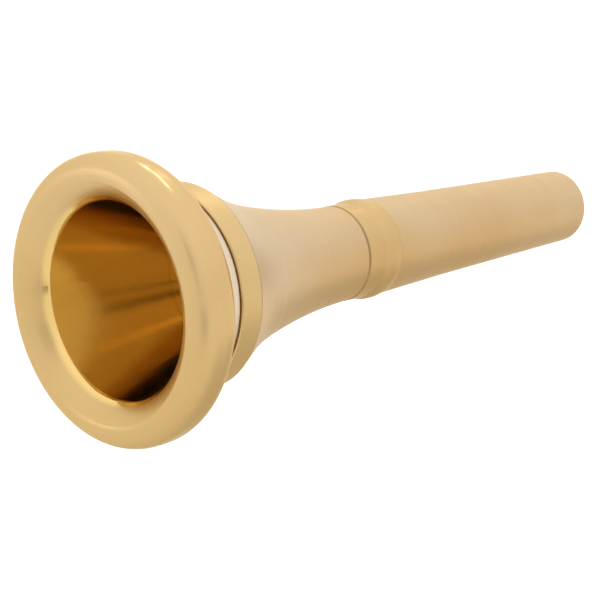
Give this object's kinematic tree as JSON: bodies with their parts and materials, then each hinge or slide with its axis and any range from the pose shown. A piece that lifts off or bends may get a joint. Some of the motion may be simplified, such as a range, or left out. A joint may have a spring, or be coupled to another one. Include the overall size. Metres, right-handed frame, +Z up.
{
  "type": "brass instrument mouthpiece",
  "caption": "Horn mouthpiece of turned brass: a rounded rim and a funnel cup that unscrew from a tapered shank, with a ring clamped in each joint.",
  "frame": {"origin": "centre of the shank's end face, on the axis of the bore", "axes": "+X along the axis and out of the shank's end, so the rim's face looks along -X; +Z is up; Y and Z are across the axis"},
  "size_m": [0.0654, 0.0258, 0.0258],
  "materials": {
    "polished_brass": "polished",
    "satin_brass": "satin"
  },
  "bodies": {
    "shank": {"shank": "satin_brass"},
    "joint_ring": {"joint_ring": "satin_brass"},
    "cup": {"cup": "satin_brass"},
    "collar_ring": {"collar_ring": "polished_brass"},
    "rim": {"rim": "polished_brass"}
  },
  "joints": [
    {"name": "joint_ring_slide", "type": "slide", "parent": "shank", "child": "joint_ring", "axis": [-1, 0, 0], "range_m": [0, 0.00451]},
    {"name": "cup_screw", "type": "hinge", "parent": "joint_ring", "child": "cup", "pos_m": [-0.0313, 0, 0], "axis": [-1, 0, 0], "range_deg": [0, 2160]},
    {"name": "collar_ring_slide", "type": "slide", "parent": "cup", "child": "collar_ring", "axis": [-1, 0, 0], "range_m": [0, 0.00226]},
    {"name": "rim_screw", "type": "hinge", "parent": "collar_ring", "child": "rim", "pos_m": [-0.055, 0, 0], "axis": [-1, 0, 0], "range_deg": [0, 1080]}
  ],
  "couplings": [
    {"joint": "joint_ring_slide", "follows": "cup_screw", "m_per_rad": 0.00011937},
    {"joint": "collar_ring_slide", "follows": "rim_screw", "m_per_rad": 0.00011937}
  ]
}
